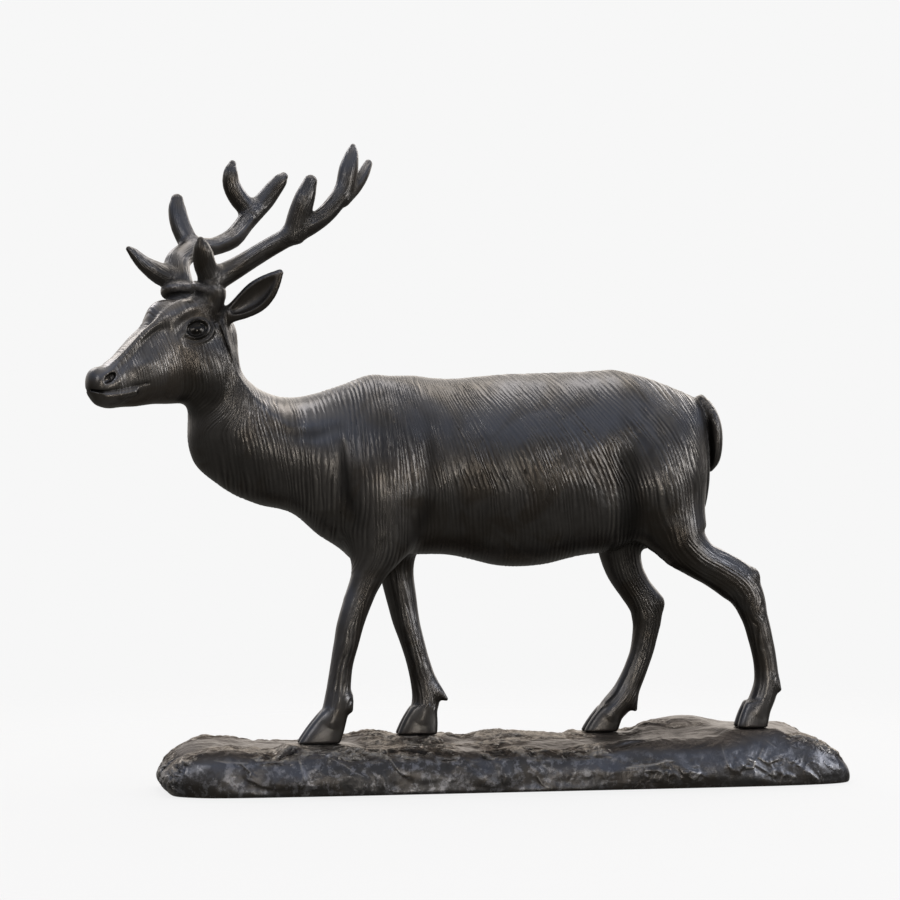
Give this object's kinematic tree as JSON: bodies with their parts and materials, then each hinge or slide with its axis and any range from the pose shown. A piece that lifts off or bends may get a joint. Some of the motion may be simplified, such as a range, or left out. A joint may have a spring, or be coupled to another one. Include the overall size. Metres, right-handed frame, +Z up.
{
  "type": "stag sculpture",
  "caption": "Walking stag with branched antlers, cast in dark patinated bronze, standing on a long low rock base; a table-top ornament.",
  "frame": {"origin": "middle of the flat underside of the rock base, 2.3 mm to the right of its exact centre", "axes": "+Z up; the stag faces -X and its left flank faces -Y"},
  "size_m": [0.3844, 0.0951, 0.3169],
  "materials": {
    "stag_bronze": "dark brown-black patinated bronze, chased with fine hair strokes, rubbed brighter on the ridges",
    "rock_bronze": "dark brown-black patinated bronze, rough cast rock with worn edges"
  },
  "bodies": {
    "root": {"stag_figure": "stag_bronze", "rock_base": "rock_bronze"}
  },
  "joints": []
}
